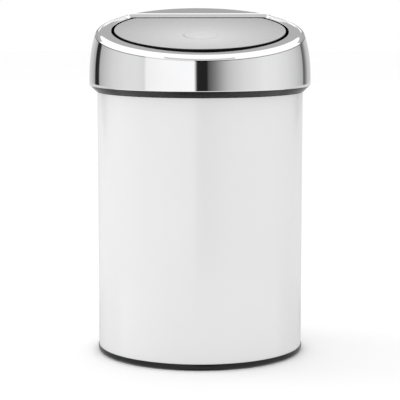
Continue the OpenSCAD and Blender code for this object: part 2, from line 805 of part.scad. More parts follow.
// Plate with a stem and a bevelled head that the latch grips
module latch_striker() {
    neck = tray_under - striker_t;
    foot = striker_top - head_h;
    plate_half = striker_screw_x + striker_past;
    color("#d8d9da") on_lid() difference() {
        union() {
            translate([-plate_half, -latch_y - striker_l / 2, neck])
                cube([2 * plate_half, striker_l, striker_t]);
            translate([-stem_w / 2, -latch_y - head_l / 2, foot]) cube([stem_w, head_l, neck - foot]);
            translate([0, -latch_y + head_l / 2, 0]) rotate([90, 0, 0]) linear_extrude(head_l) polygon([
                [-head_w / 2, striker_top], [-head_w / 2, striker_top - head_edge], [-stem_w / 2, foot],
                [stem_w / 2, foot], [head_w / 2, striker_top - head_edge], [head_w / 2, striker_top]
            ]);
        }
        striker_screw_places() cylinder(r = striker_screw_r + seat, h = 2 * striker_screw_l, center = true);
    }
}

// Axes of the striker's screws, with +Z downwards out of the tray
module striker_screw_places()
    for (side = [-1, 1])
        translate([side * striker_screw_x, -latch_y, tray_under - striker_t]) rotate([180, 0, 0]) children();

module striker_screws() {
    color("#c4c6c8") on_lid() striker_screw_places()
        screw(striker_screw_r, striker_screw_l, striker_screw_r + 1.1, striker_screw_r + 0.3);
}

outer_shell();
base_ring();
bottom_plate();
inner_bucket();
bucket_handle();
handle_grip();
lid_frame();
collar_band();
lid_ring();
hinge_bracket();
bracket_screws();
hinge_rod();
rod_clips();
lid_spring_left();
lid_spring_right();
lid_bumpers();
latch_housing();
latch_screws();
latch_spring();
latch_slider();
latch_claws();
lid_panel();
lid_tray();
latch_striker();
striker_screws();
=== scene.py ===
# Countertop bin with a push-to-open lid. Metres, +Z up, the front is -Y, the centre of the base is the origin.
# Outlines are written in millimetres and made metres by the helpers that turn them into meshes.
import math

import bmesh
import bpy
from mathutils import Matrix, Vector


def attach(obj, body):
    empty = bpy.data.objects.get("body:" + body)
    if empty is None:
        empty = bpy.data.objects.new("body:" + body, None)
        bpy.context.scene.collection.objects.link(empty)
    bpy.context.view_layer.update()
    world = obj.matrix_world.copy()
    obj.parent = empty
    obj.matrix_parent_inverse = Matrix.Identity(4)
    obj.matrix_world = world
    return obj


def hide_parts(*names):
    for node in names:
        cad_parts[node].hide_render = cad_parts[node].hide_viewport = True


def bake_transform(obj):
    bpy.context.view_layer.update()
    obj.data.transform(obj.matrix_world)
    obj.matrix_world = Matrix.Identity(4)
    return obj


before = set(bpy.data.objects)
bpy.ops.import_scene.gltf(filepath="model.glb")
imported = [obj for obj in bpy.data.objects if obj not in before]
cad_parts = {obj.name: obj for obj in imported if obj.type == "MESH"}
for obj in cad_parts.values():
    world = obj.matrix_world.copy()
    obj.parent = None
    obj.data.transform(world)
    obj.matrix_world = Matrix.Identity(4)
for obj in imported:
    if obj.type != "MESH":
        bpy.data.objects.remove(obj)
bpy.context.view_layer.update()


# ---- Camera ----
# A long lens about 1.3 m in front of the bin and just above its lid, turned down a little. It sees the lid
# almost edge on and the polished ring from the front.
yaw = 0.03
pitch = 0.133
lens = bpy.data.cameras.new("camera")
lens.lens = 145.47
lens.sensor_width = 36
camera = bpy.data.objects.new("camera", lens)
camera.location = (-0.0402, -1.3393, 0.30516)
camera.rotation_euler = (math.pi / 2 - pitch, 0, -yaw)
bpy.context.collection.objects.link(camera)
bpy.context.scene.camera = camera


# ---- Body ----
# One sheet of steel, rolled into a tube and lapped at the back, with its cut edges rounded over. It is
# sprayed with white gloss lacquer, which keeps a very slight orange peel and shows the lap as a fine line.
mm = 0.001
body_r = 85
body_in = 84.4
body_foot = 1.6
body_top = 217
body_edge = 0.2
seam_low = 15
seam_high = 199
seam_in = body_in - 0.6
seam_angle = 8 / body_r
seam_line_half = 0.35  # half the width of the line that shows outside
seam_sink = 6  # its depth, in heights of the orange peel


class Field:
    """A number that varies over a surface. Arithmetic with it adds Math nodes to its node tree."""

    def __init__(self, nodes, socket):
        self.nodes = nodes
        self.socket = socket

    def __add__(self, other):
        return self.nodes.math("ADD", self, other)

    def __sub__(self, other):
        return self.nodes.math("SUBTRACT", self, other)

    def __rsub__(self, other):
        return self.nodes.math("SUBTRACT", other, self)

    def __mul__(self, other):
        return self.nodes.math("MULTIPLY", self, other)

    def __truediv__(self, other):
        return self.nodes.math("DIVIDE", self, other)

    def __rtruediv__(self, other):
        return self.nodes.math("DIVIDE", other, self)

    def __gt__(self, other):
        return self.nodes.math("GREATER_THAN", self, other)

    def __lt__(self, other):
        return self.nodes.math("LESS_THAN", self, other)

    def __abs__(self):
        return self.nodes.math("ABSOLUTE", self)

    __radd__ = __add__
    __rmul__ = __mul__

    def between(self, low, high):
        """1 where the field lies between two numbers, 0 elsewhere."""
        return (self > low) * (self < high)

    def clipped(self):
        """The field, held between 0 and 1."""
        return self.nodes.math("MINIMUM", self.nodes.math("MAXIMUM", self, 0), 1)


class Nodes:
    """Adds nodes to one node tree."""

    def __init__(self, tree):
        self.tree = tree

    def feed(self, node, name, value):
        """Gives an input of a node a value, or links it to a field or to another node's output."""
        if isinstance(value, Field):
            value = value.socket
        if isinstance(value, bpy.types.NodeSocket):
            self.tree.links.new(value, node.inputs[name])
        else:
            node.inputs[name].default_value = value

    def make(self, kind, inputs=None, stops=(), **settings):
        """Adds a node. Its settings and a ramp's rising (place, grey) stops come first, then its inputs."""
        node = self.tree.nodes.new("ShaderNode" + kind)
        for name, value in settings.items():
            setattr(node, name, value)
        if stops:
            ramp = node.color_ramp.elements
            ramp.remove(ramp[1])
            ramp[0].position = stops[0][0]
            for place, _ in stops[1:]:
                ramp.new(place)
            for stop, (_, grey) in zip(ramp, stops):
                stop.color = (grey, grey, grey, 1)
        for name, value in (inputs or {}).items():
            self.feed(node, name, value)
        return node

    def field(self, kind, output, inputs=None, **settings):
        """The number that a new node gives at one of its outputs."""
        return Field(self, self.make(kind, inputs, **settings).outputs[output])

    def math(self, operation, *values):
        """The outcome of a Math node for some fields and plain numbers."""
        return self.field("Math", 0, dict(enumerate(values)), operation=operation)


class Finish(Nodes):
    """A surface finish: one material whose Principled shader has the given settings all over."""

    def __init__(self, name, settings=None):
        self.material = bpy.data.materials.new(name)
        self.material.use_nodes = True
        super().__init__(self.material.node_tree)
        self.shader = self.tree.nodes["Principled BSDF"]
        for setting, value in (settings or {}).items():
            self.feed(self.shader, setting, value)
        self.place = self.make("TexCoord").outputs["Object"]

    def axis(self, name, place=None):
        """The X, Y or Z of a place or direction. Without one it is the surface's own place, in metres."""
        return self.field("SeparateXYZ", name, {0: self.place if place is None else place})

    def noise(self, grain, detail=2, stretch=(1, 1, 1)):
        """Soft noise from 0 to 1 with a grain in millimetres, drawn out along the stretched axes."""
        scale = [1 / (grain * mm * part) for part in stretch]
        place = self.make("Mapping", {"Vector": self.place, "Scale": scale}).outputs[0]
        return self.field("TexNoise", "Fac", {"Vector": place, "Scale": 1, "Detail": detail})

    def cells(self, size):
        """A random number from 0 to 1 for each cell of a given size in millimetres."""
        texture = self.make("TexVoronoi", {"Vector": self.place, "Scale": 1 / (size * mm)})
        return self.axis("X", texture.outputs["Color"])

    def colour(self, field, low, high):
        """Base colour that goes from low to high as the field goes from 0 to 1."""
        # A Mix node's inputs 6 and 7 and its output 2 are the ones for colours
        mix = self.make("Mix", {"Factor": field, 6: (*low, 1), 7: (*high, 1)}, data_type="RGBA")
        self.feed(self.shader, "Base Color", mix.outputs[2])

    def roughness(self, field, low, high):
        """Roughness that goes from low to high as the field goes from 0 to 1."""
        self.feed(self.shader, "Roughness", field * (high - low) + low)

    def relief(self, field, height):
        """Raises the surface by up to a height in millimetres where the field is 1."""
        bump = self.make("Bump", {"Height": field, "Distance": height * mm, "Strength": 1})
        self.feed(self.shader, "Normal", bump.outputs[0])


def rounded(corners, closed=True):
    """Outline of (across, up) points from (across, up, radius) corners, each rounded in a few steps."""
    steps = 4
    points = []
    for i, (x, y, radius) in enumerate(corners):
        here = Vector((x, y))
        ends = not closed and i in (0, len(corners) - 1)
        if ends or not radius:
            points.append(here)
            continue
        before = Vector(corners[i - 1][:2]) - here
        after = Vector(corners[(i + 1) % len(corners)][:2]) - here
        start = here + before.normalized() * radius
        end = here + after.normalized() * radius
        for k in range(steps + 1):
            s = k / steps
            points.append(start * (1 - s) ** 2 + here * 2 * s * (1 - s) + end * s ** 2)
    return points


def merge(shape):
    """Joins the vertices of a mesh that lie in one place."""
    bmesh.ops.remove_doubles(shape, verts=shape.verts, dist=1e-7)


def turned(outline, closed=True, steps=256, sweep=2 * math.pi, start=0, shape=None):
    """Mesh of an outline of (radius, height) points turned round the upright axis.

    An open outline starts and ends on the axis. The mesh is added to a given shape or is a new one.
    """
    shape = shape or bmesh.new()
    turn = Matrix.Rotation(start, 3, "Z")
    corners = [shape.verts.new(turn @ Vector((r * mm, 0, z * mm))) for r, z in outline]
    sides = [shape.edges.new(pair) for pair in zip(corners, corners[1:])]
    if closed:
        sides.append(shape.edges.new((corners[-1], corners[0])))
    bmesh.ops.spin(
        shape, geom=corners + sides, cent=(0, 0, 0), axis=(0, 0, 1), angle=sweep, steps=steps,
        use_merge=sweep == 2 * math.pi,
    )
    merge(shape)
    bmesh.ops.holes_fill(shape, edges=[edge for edge in shape.edges if edge.is_boundary])
    return shape


def fasten(thing, body, replaced):
    """Adds a finished object to the bin. It rides on a body and stands for some of the solids."""
    bpy.context.collection.objects.link(thing)
    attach(thing, body)
    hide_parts(*replaced)


def piece(name, shape, finish, body, replaced, crease=30):
    """Makes a mesh a piece of the bin. Edges sharper than the crease, in degrees, stay sharp."""
    bmesh.ops.recalc_face_normals(shape, faces=shape.faces)
    mesh = bpy.data.meshes.new(name)
    shape.to_mesh(mesh)
    shape.free()
    mesh.shade_smooth()
    mesh.set_sharp_from_angle(angle=math.radians(crease))
    mesh.materials.append(finish.material)
    fasten(bpy.data.objects.new(name, mesh), body, replaced)


white_lacquer = Finish("white_lacquer", {"Roughness": 0.24, "Coat Weight": 0.5, "Coat Roughness": 0.14})
peel = white_lacquer.noise(2.2, 1)
seam_line = 1 - abs(white_lacquer.axis("X") / (seam_line_half * mm))
seam_line = seam_line.clipped() * (white_lacquer.axis("Y") > 0)
white_lacquer.colour(white_lacquer.noise(60, 1), (0.78, 0.782, 0.782), (0.8, 0.8, 0.798))
white_lacquer.roughness(white_lacquer.noise(14, 3), 0.2, 0.28)
white_lacquer.relief(peel - seam_line * seam_sink, 0.004)

body_sheet = turned(rounded([
    (body_in, body_foot, body_edge), (body_r, body_foot, body_edge),
    (body_r, body_top, body_edge), (body_in, body_top, body_edge)
]))
turned(
    [(seam_in, seam_low), (body_in, seam_low), (body_in, seam_high), (seam_in, seam_high)],
    steps=8, sweep=seam_angle, start=math.pi / 2 - seam_angle / 2, shape=body_sheet,
)
piece("body_sheet", body_sheet, white_lacquer, "body", ["outer_shell"])


# ---- Base ring ----
# Moulded black plastic, finely grained, with soft edges and a narrow chamfer at its foot. The body's lower
# edge is pressed down into its groove, and the bottom plate lies on its ledge.
black_plastic = Finish("black_plastic", {"Roughness": 0.18, "IOR": 1.3})
grain = black_plastic.noise(0.5, 3)
black_plastic.colour(black_plastic.noise(9, 2), (0.01, 0.01, 0.011), (0.015, 0.015, 0.016))
black_plastic.roughness(grain, 0.13, 0.23)
black_plastic.relief(grain, 0.004)

foot_ring = turned(rounded([
    (80.5, 0, 0.4), (83.9, 0, 0.5), (85.5, 1.8, 0.7), (85.5, 5.4, 0.35), (85.05, 5.4, 0.1), (85.05, 1.6, 0),
    (84.35, 1.6, 0), (84.35, 14, 0.4), (82.5, 14, 0.4), (82.5, 7.4, 0), (80.5, 7.4, 0.4)
]))
piece("foot_ring", foot_ring, black_plastic, "body", ["base_ring"])


# ---- Bottom plate ----
# A pressed disc of zinc-coated steel with an upturned edge and two round stiffening beads, lying on the
# base ring's ledge inside the body.
bead = 0.9
zinc = Finish("zinc_steel", {"Metallic": 1, "Roughness": 0.4})
spangle = zinc.cells(5)
zinc.colour(spangle, (0.44, 0.45, 0.47), (0.57, 0.58, 0.6))
zinc.roughness(zinc.cells(3.4) * 0.7 + zinc.noise(0.6, 2) * 0.3, 0.3, 0.5)
zinc.relief(zinc.noise(0.9, 3), 0.006)


def plate_side(z):
    """Outline of one face of the bottom plate from the axis outwards, with its beads pressed down."""
    return [
        (0, z, 0), (26, z, 1), (28.5, z - bead, 2), (33.5, z - bead, 2), (36, z, 1),
        (60, z, 1), (62.5, z - bead, 2), (67.5, z - bead, 2), (70, z, 1)
    ]


upturned_edge = [(82.45, 7.4, 0.9), (82.45, 12.4, 0.15), (81.85, 12.4, 0.15), (81.85, 8, 0.4)]
bottom_outline = rounded(plate_side(7.4) + upturned_edge + plate_side(8)[::-1], closed=False)
bottom_disc = turned(bottom_outline, closed=False, steps=192)
piece("bottom_disc", bottom_disc, zinc, "body", ["bottom_plate"])


# ---- Bucket ----
# Lift-out bucket of dark grey polypropylene with a turned-out rim and two upright ears for its handle. It is
# moulded in one piece, and its satin surface has a fine, uneven grain.
bucket_plastic = Finish("bucket_plastic", {"Roughness": 0.42})
cloud = bucket_plastic.noise(1.2, 4)
bucket_plastic.colour(bucket_plastic.noise(30, 2), (0.07, 0.07, 0.075), (0.088, 0.088, 0.093))
bucket_plastic.roughness(cloud, 0.34, 0.5)
bucket_plastic.relief(cloud, 0.02)


def dress(finish, *names):
    """Gives solids of the frame that keep their shape a finish."""
    for name in names:
        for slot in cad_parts[name].material_slots:
            slot.material = finish.material


dress(bucket_plastic, "inner_bucket")


# ---- Bucket handle ----
# Bent from one length of bright wire, folded back onto the bucket's rim, with its ends turned in through the
# ears. A black sleeve slipped over its middle is the grip.
bail_r = 78.85
bail_z = 200.4
bail_wire = 1.3
bail_in = 74.75
bail_steps = 96
sleeve_in = 1.35
sleeve_out = 2.1
sleeve_half = 32
sleeve_rings = 48
sleeve_angle = math.radians(23)  # from the sleeve's middle to its ends, round the handle's bow
wire_steel = Finish("wire_steel", {"Metallic": 1, "Roughness": 0.25})
drawn = wire_steel.noise(0.35, 3)
wire_steel.colour(wire_steel.noise(4, 2), (0.56, 0.57, 0.58), (0.64, 0.65, 0.66))
wire_steel.roughness(drawn, 0.18, 0.34)
wire_steel.relief(drawn, 0.003)


def round_wire(name, path, radius, sides=3):
    """Object of round steel wire along a path of points in millimetres."""
    curve = bpy.data.curves.new(name, "CURVE")
    curve.dimensions = "3D"
    curve.bevel_depth = radius * mm
    curve.bevel_resolution = sides
    curve.use_fill_caps = True
    spline = curve.splines.new("POLY")
    spline.points.add(len(path) - 1)
    for point, place in zip(spline.points, path):
        point.co = (*(part * mm for part in place), 1)
        point.radius = 1
    curve.materials.append(wire_steel.material)
    return bpy.data.objects.new(name, curve)


def bail_point(degrees):
    """Point of the handle's bow, in degrees round from its right end."""
    angle = math.radians(degrees)
    return (bail_r * math.cos(angle), bail_r * math.sin(angle), bail_z)


bend = [(bail_in, 0, bail_z), (77.2, 0, bail_z), (78.1, 0.15, bail_z), (78.7, 0.7, bail_z)]
bow = [bail_point(1.3 + 177.4 * k / bail_steps) for k in range(bail_steps + 1)]
bail = round_wire("bail", bend + bow + [(-x, y, z) for x, y, z in bend[::-1]], bail_wire)
fasten(bail, "handle", ["bucket_handle"])

# The sleeve is turned as a straight tube, cut into rings, and then bent round the bow
sleeve = turned(rounded([
    (sleeve_in, -sleeve_half, 0.2), (sleeve_out, -sleeve_half, 0.5),
    (sleeve_out, sleeve_half, 0.5), (sleeve_in, sleeve_half, 0.2)
]), steps=24)
long_edges = [e for e in sleeve.edges if abs(e.verts[0].co.z - e.verts[1].co.z) > sleeve_half * mm]
bmesh.ops.subdivide_edges(sleeve, edges=long_edges, cuts=sleeve_rings, use_grid_fill=True)
for v in sleeve.verts:
    turn = math.pi / 2 - v.co.z / mm / sleeve_half * sleeve_angle
    r = bail_r + v.co.x / mm
    v.co = Vector((r * math.cos(turn), r * math.sin(turn), bail_z + v.co.y / mm)) * mm
piece("grip_sleeve", sleeve, black_plastic, "handle", ["handle_grip"])


# ---- Collar ----
# Black moulded frame of the lid unit: a tube that plugs into the body, a shelf and a funnel round the
# opening. It is hidden by the ring except round the lid and from below.
dress(black_plastic, "lid_frame")


# ---- Black band ----
# A bevelled black ring pressed round the collar between the body and the polished ring. Its upper edge
# stays a little inside the ring.
band = turned(rounded([
    (83.2, 217.4, 0), (85.9, 217.4, 0.35), (90.8, 222.2, 0.4), (83.2, 222.2, 0)
]))
piece("band", band, black_plastic, "lid_unit", ["collar_band"])


# ---- Polished ring ----
# Deep-drawn steel, polished like a mirror: the side curves in towards a round shoulder, the flat top slopes
# down to the front, and the edge of the opening is hemmed, and turned up into a ridge behind the lid.
tilt = math.radians(11.6)
plane_z = 267.2  # height of the sloping top at the axis
ring_z = 222.2  # lower edge
ring_t = 0.8
skirt_r = 91.4  # plan radius of the side below its curve
lean = 6.2  # how far the side curves in
curve_depth = 45  # how far down the curve reaches
curve_power = 2.9
shoulder = 5.5
shoulder_end = math.radians(18.8)  # where the shoulder meets the side
shoulder_steps = 12
side_steps = 24
droop_most = 0.42  # how far the top's outer edge sinks at the rear sides
droop_sines = (-0.2, 0.5)  # sines of the angles between which it begins, from the front to the rear
hole_r = 73.2
corner_x = 57.49  # ends of the opening's straight rear edge
chord_y = 50.8  # how far up the slope that edge lies
hem_t = 0.6
hem_h = 2
lip_h = 2.1
lip_lean = 2.4
lip_ends = (-0.09, 0.03)  # angles from the opening's corners, + rearwards, between which the ridge rises
corner_angle = math.atan2(chord_y, corner_x)
round_angle = math.acos(corner_x / hole_r)
rear_steps, corner_steps, front_steps = 96, 8, 208
ring_steps = rear_steps + 2 * corner_steps + front_steps
polished_steel = Finish("polished_steel", {"Metallic": 1, "Roughness": 0.04})
smear = polished_steel.noise(7, 3, (6, 6, 1))
polished_steel.colour(polished_steel.noise(25, 2), (0.79, 0.79, 0.8), (0.82, 0.82, 0.828))
polished_steel.roughness(smear, 0.03, 0.07)
polished_steel.relief(polished_steel.noise(16, 1), 0.004)


def spread(value, low, high):
    """0 below low, 1 above high, and a smooth rise between."""
    s = min(max((value - low) / (high - low), 0), 1)
    return s * s * (3 - 2 * s)


def station(k):
    """Angle of the ring's kth section. Sections fall on the corners of the opening."""
    marks = [
        (0, corner_angle), (rear_steps, math.pi - corner_angle),
        (rear_steps + corner_steps, math.pi - round_angle),
        (ring_steps - corner_steps, 2 * math.pi + round_angle), (ring_steps, 2 * math.pi + corner_angle)
    ]
    for (k0, a0), (k1, a1) in zip(marks, marks[1:]):
        if k <= k1:
            return a0 + (a1 - a0) * (k - k0) / (k1 - k0)


def on_slope(x, y, z):
    """Point given across, up the slope and square to it, in the bin's own frame."""
    return Vector((
        x, y * math.cos(tilt) - z * math.sin(tilt), plane_z + y * math.sin(tilt) + z * math.cos(tilt)
    ))


def opening_point(angle, grow, z):
    """Point beside the opening's edge, grown outwards by a distance, at a height over the slope."""
    across, back = abs(math.cos(angle)), math.sin(angle)
    reach = hole_r + grow
    if back > 0:
        if back > 0.5 and across > 0:
            reach = max(reach, (corner_x + grow) / across)
        reach = min(reach, (chord_y + grow) / back)
    return on_slope(reach * math.cos(angle), reach * back, z)


def side_r(depth):
    """Plan radius of the ring's side at a depth below its sloping top."""
    return skirt_r - lean * (1 - min(depth, curve_depth) / curve_depth) ** curve_power


def side_point(angle, r, depth):
    """Point of the ring's side at a plan radius and a depth, kept above its lower edge."""
    z = plane_z + r * math.sin(angle) * math.tan(tilt) - depth
    return Vector((r * math.cos(angle), r * math.sin(angle), max(z, ring_z + 0.12)))


shoulder_depth = shoulder * (1 - math.sin(shoulder_end))
shoulder_mid = side_r(shoulder_depth) - shoulder * math.cos(shoulder_end)


def ring_section(angle):
    """Closed section of the ring at an angle, from the hem over the top and down the side, and back inside."""
    turned_in = angle % (2 * math.pi)
    raised = spread(min(turned_in - corner_angle, math.pi - corner_angle - turned_in), *lip_ends)
    full = plane_z + skirt_r * math.sin(angle) * math.tan(tilt) - ring_z
    under = ring_t + (1 - raised) * (hem_h - ring_t)
    top = raised * lip_h
    back = raised * lip_lean

    # Edge of the opening: a rounded hem, or the leaning face and the rounded top of the ridge
    edge = [
        (0, 0.1 - under), (0.03 + back * 0.84, top - 0.14 - 0.5 * raised),
        (0.03 + back * 0.86, top - 0.12 - 0.46 * raised), (0.09 + back, top - 0.04 - 0.16 * raised),
        (0.2 + back * 1.15, top), (0.5 + back * 1.17, top), (1 + 3 * raised, top - 0.2 * raised)
    ]
    points = [opening_point(angle, grow, z) for grow, z in edge]

    # Top. At the rear sides it sinks a little towards its middle, and its outer edge droops
    inside, outside = points[-1], side_point(angle, shoulder_mid, 0)
    droop = droop_most * spread(math.sin(angle), *droop_sines) * (1 - raised)
    outside.z -= droop
    for s in (0.08, 0.4, 0.5, 0.6, 0.7, 0.8, 0.9, 0.97):
        point = inside.lerp(outside, s)
        if s > 0.5:
            point.z += droop * (s - (2 * s - 1) ** 2)
        points.append(point)

    # Shoulder and side, then the rounded lower edge
    for k in range(shoulder_steps + 1):
        a = math.pi / 2 + (shoulder_end - math.pi / 2) * k / shoulder_steps
        depth = shoulder * (1 - math.sin(a)) + droop * (1 - k / shoulder_steps)
        points.append(side_point(angle, shoulder_mid + shoulder * math.cos(a), depth))
    drop = full - 0.6 - shoulder_depth
    depths = [shoulder_depth + drop * (k / side_steps) ** 1.4 for k in range(1, side_steps + 1)]
    points += [side_point(angle, side_r(depth), depth) for depth in depths]
    foot = side_r(full)
    for inwards, up in ((0.04, 0.42), (0.16, 0.2), (0.36, 0.05), (0.58, 0), (ring_t - 0.05, 0)):
        r = foot - inwards
        points.append(Vector((r * math.cos(angle), r * math.sin(angle), ring_z + up)))

    # Back up inside, a sheet's thickness away and in fewer steps
    points += [side_point(angle, side_r(depth) - ring_t, depth) for depth in depths[-2::-4]]
    for a in (math.radians(20), math.radians(50)):
        r = shoulder_mid + (shoulder - ring_t) * math.cos(a)
        points.append(side_point(angle, r, shoulder - (shoulder - ring_t) * math.sin(a)))
    points.append(side_point(angle, shoulder_mid, ring_t / math.cos(tilt)))
    points.append(opening_point(angle, hem_t + raised, -ring_t))
    points.append(opening_point(angle, hem_t, 0.01 * raised - under))
    return points


def joined(sections, closed=True):
    """Mesh through sections of points in millimetres that stand round the upright axis.

    A flat washer with as many rings as a section has points is turned first. Then each point of it goes to
    its place, which its ring and its angle give.
    """
    inner, steps = 100, len(sections)
    shape = turned([(inner + j, 0) for j in range(len(sections[0]))], closed=closed, steps=steps)
    for v in shape.verts:
        j = round(v.co.xy.length / mm) - inner
        k = round(math.atan2(v.co.y, v.co.x) / (2 * math.pi) * steps) % steps
        v.co = sections[k][j] * mm
    return shape


ring = joined([ring_section(station(k)) for k in range(ring_steps)])
piece("ring", ring, polished_steel, "lid_unit", ["lid_ring"], crease=38)


# ---- Hinge ----
# A zinc-coated bracket screwed under the rear of the collar holds a steel rod in four lugs; spring clips stop
# the rod, and two torsion springs round it push the lid open.
hinge_y = 46
hinge_z = -3.9
spring_x = 24.89
spring_r = 1.7
spring_wire = 0.35
spring_pitch = 1.6
spring_start = math.radians(30)
spring_sweep = math.radians(1860)
spring_steps = 160
dress(zinc, "hinge_bracket")
dress(wire_steel, "bracket_screws", "hinge_rod", "rod_clips")


def torsion_spring(side):
    """Path of one torsion spring: a leg under the bracket, the turns round the rod, a leg under the tray."""
    turns = []
    for k in range(spring_steps + 1):
        gone = spring_sweep * k / spring_steps
        a = spring_start + gone
        x = spring_x + gone / (2 * math.pi) * spring_pitch
        turns.append((x, spring_r * math.cos(a), spring_r * math.sin(a)))
    x0, x1 = turns[0][0], turns[-1][0]
    path = [(x0, 9, -2), (x0, 4.4, -2), (x0, 3.6, -1.7)] + turns + [(x1, -5, spring_r), (x1, -9, spring_r)]
    return [on_slope(side * x, hinge_y + y, hinge_z + z) for x, y, z in path]


for side, name in ((1, "right"), (-1, "left")):
    spring = round_wire("spring_" + name, torsion_spring(side), spring_wire, sides=2)
    fasten(spring, "lid_unit", ["lid_spring_" + name])


# ---- Bumpers ----
# Two pads of soft, dull black rubber, glued to the collar's ledge. The lid's tray meets them when it is
# pushed, and stops softly.
soft_rubber = Finish("soft_rubber", {"Roughness": 0.85})
speck = soft_rubber.noise(0.3, 3)
soft_rubber.colour(speck, (0.03, 0.03, 0.03), (0.05, 0.05, 0.05))
soft_rubber.roughness(soft_rubber.noise(1.5, 2), 0.75, 0.95)
soft_rubber.relief(speck, 0.03)
dress(soft_rubber, "lid_bumpers")


# ---- Latch ----
# A push latch behind the front edge: a black housing screwed to the collar, a spring, and a grey slider with
# two pale claws of springy plastic that grip the lid's striker.
latch_plastic = Finish("latch_plastic", {"Roughness": 0.4})
haze = latch_plastic.noise(0.8, 3)
latch_plastic.colour(latch_plastic.noise(6, 2), (0.72, 0.72, 0.71), (0.77, 0.77, 0.765))
latch_plastic.roughness(haze, 0.34, 0.48)
latch_plastic.relief(haze, 0.01)
dress(black_plastic, "latch_housing")
dress(wire_steel, "latch_screws")
dress(bucket_plastic, "latch_slider")
dress(latch_plastic, "latch_claws")

# The spring stands on the housing's floor and carries the slider, with its first and last turns flat. It is
# a mesh, made from a curve.
coil_y = -62.45
coil_foot = -41.9
coil_length = 10
coil_r = 3
coil_wire = 0.4
coil_gap = 0.45  # from the floor and from the slider to the middle of the wire
coil_turn = 24  # points in one turn
coil_flat = 18  # points at either end
coil_rising = 96  # points between them
coil_path = []
for k in range(coil_flat + coil_rising + coil_flat + 1):
    a = 2 * math.pi * k / coil_turn
    rise = coil_gap + (coil_length - 2 * coil_gap) * min(max((k - coil_flat) / coil_rising, 0), 1)
    coil_path.append(on_slope(coil_r * math.cos(a), coil_y + coil_r * math.sin(a), coil_foot + rise))
coil_curve = round_wire("coil_wire", coil_path, coil_wire)
bpy.context.collection.objects.link(coil_curve)
coil = bpy.data.objects.new("coil", bpy.data.meshes.new_from_object(coil_curve))
bpy.data.objects.remove(coil_curve)
bpy.context.collection.objects.link(coil)
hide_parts("latch_spring")
on_slope(0, coil_y, coil_foot) * mm
on_slope(0, coil_y, coil_foot + coil_length) * mm
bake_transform(coil)


# ---- Lid tray ----
# Black moulded tray under the lid panel, with ribs and hinge barrels, and the pale striker that is screwed to
# it near the front.
dress(black_plastic, "lid_tray")
dress(latch_plastic, "latch_striker")
dress(wire_steel, "striker_screws")


# ---- Lid panel ----
# Steel sheet with a fine matt finish, glued on the tray. Its rear edge is straight and bent down, and a
# shallow round mark pressed in near the front shows where to push.
lid_r = 70.7
lid_back = 45.6
lid_top = -0.2
lid_set = math.radians(1)
lid_steps = 288
panel_t = 0.6
mark_y = -21.7
mark_r = 14
mark_edge = 1.6
mark_depth = 0.35
corner_power = 90  # the higher, the sharper the two corners of the lid
mark_steps = [0, 3, 6, 9, 12, 12.5, 12.9, 13.3, 13.7, 14.1, 17]
flat_from = mark_steps[-1]
rim_shade_half = 1.6  # half the width of the painted shade on the mark's rim
# Size and middle of the panel's painted highlight, in millimetres
painted_sheen_r = 85
painted_sheen_y = -30
slope_cos = 0.98  # the slope and the lid foreshorten what is measured along Y
lid_cos = 0.982
brushed_steel = Finish("brushed_steel", {"Metallic": 1, "Roughness": 0.45})
fine = brushed_steel.noise(0.16, 2)
streak = brushed_steel.noise(0.25, 3, (90, 1, 1))
across = brushed_steel.axis("X")
along = brushed_steel.axis("Y")


def length(x, y):
    """Length of the vector with these two parts."""
    return brushed_steel.math("SQRT", x * x + y * y)


# Painted highlight, brightest towards the front; painted shade on the mark's rim, most at its front left
painted_sheen = 1 - length(across / (painted_sheen_r * mm), (along - painted_sheen_y * mm) / (painted_sheen_r * mm))
past_mark = along - mark_y * slope_cos * mm
# Painted shade along the press mark's rim, heavier towards its front left
painted_rim_shade = 1 - abs(length(across, past_mark / lid_cos) - mark_r * mm) / (rim_shade_half * mm)
front_left_shade = (across * 0.5 + past_mark) / (-mark_r * mm)
shade = painted_sheen.clipped() * 0.9 + streak * 0.1 - painted_rim_shade.clipped() * (front_left_shade.clipped() * 0.7 + 0.2)
brushed_steel.colour(shade, (0.4, 0.4, 0.4), (0.73, 0.73, 0.73))
brushed_steel.roughness(streak * 0.6 + fine * 0.4, 0.4, 0.52)
brushed_steel.relief(fine, 0.004)


def lid_reach(angle):
    """Distance from the press mark's middle to the lid's slightly rounded outline, and how rearward it is."""
    down = mark_y * math.sin(angle)
    arc = -down + math.sqrt(down ** 2 + lid_r ** 2 - mark_y ** 2)
    if math.sin(angle) < 0.05:
        return arc, 0
    back = (lid_back - mark_y) / math.sin(angle)
    reach = (arc ** -corner_power + back ** -corner_power) ** (-1 / corner_power)
    return reach, spread(arc - back, -0.5, 0.5)


def mark(r):
    """Depth of the press mark at a distance from its middle."""
    return mark_depth * (0.8 * spread(mark_r - r, 0, mark_edge) + 0.2 * max(1 - (r / mark_r) ** 2, 0))


def on_lid(x, y, z):
    """Point of the shut lid, which stands a little proud of the slope towards the front."""
    y, z = y - hinge_y, z - hinge_z
    turned_y = y * math.cos(lid_set) + z * math.sin(lid_set)
    return on_slope(x, hinge_y + turned_y, hinge_z + z * math.cos(lid_set) - y * math.sin(lid_set))


def lid_section(angle):
    """Section of the panel from the press mark's middle over the top and back underneath."""
    reach, rear = lid_reach(angle)
    low = lid_top - panel_t - 0.6 * rear
    under = lid_top - panel_t
    flat = reach - 1.2 - flat_from
    points = [(r, lid_top - mark(r)) for r in mark_steps]
    points += [(flat_from + flat * s, lid_top) for s in (0.25, 0.5, 0.75, 1)]
    points += [(reach - 0.6, lid_top), (reach - 0.33, lid_top - 0.02), (reach - 0.12, lid_top - 0.1)]
    points += [(reach - 0.02, lid_top - 0.24), (reach, lid_top - 0.35), (reach, low + 0.06)]
    points += [(reach - 0.08, low), (reach - 0.5, low), (reach - 0.59, low + 0.05 * rear)]
    points += [(reach - 0.61, under)]
    points += [(flat_from + flat * s, under) for s in (1, 0.5)]
    points += [(r, under - mark(r)) for r in mark_steps[::-1]]
    return [on_lid(r * math.cos(angle), mark_y + r * math.sin(angle), z) for r, z in points]


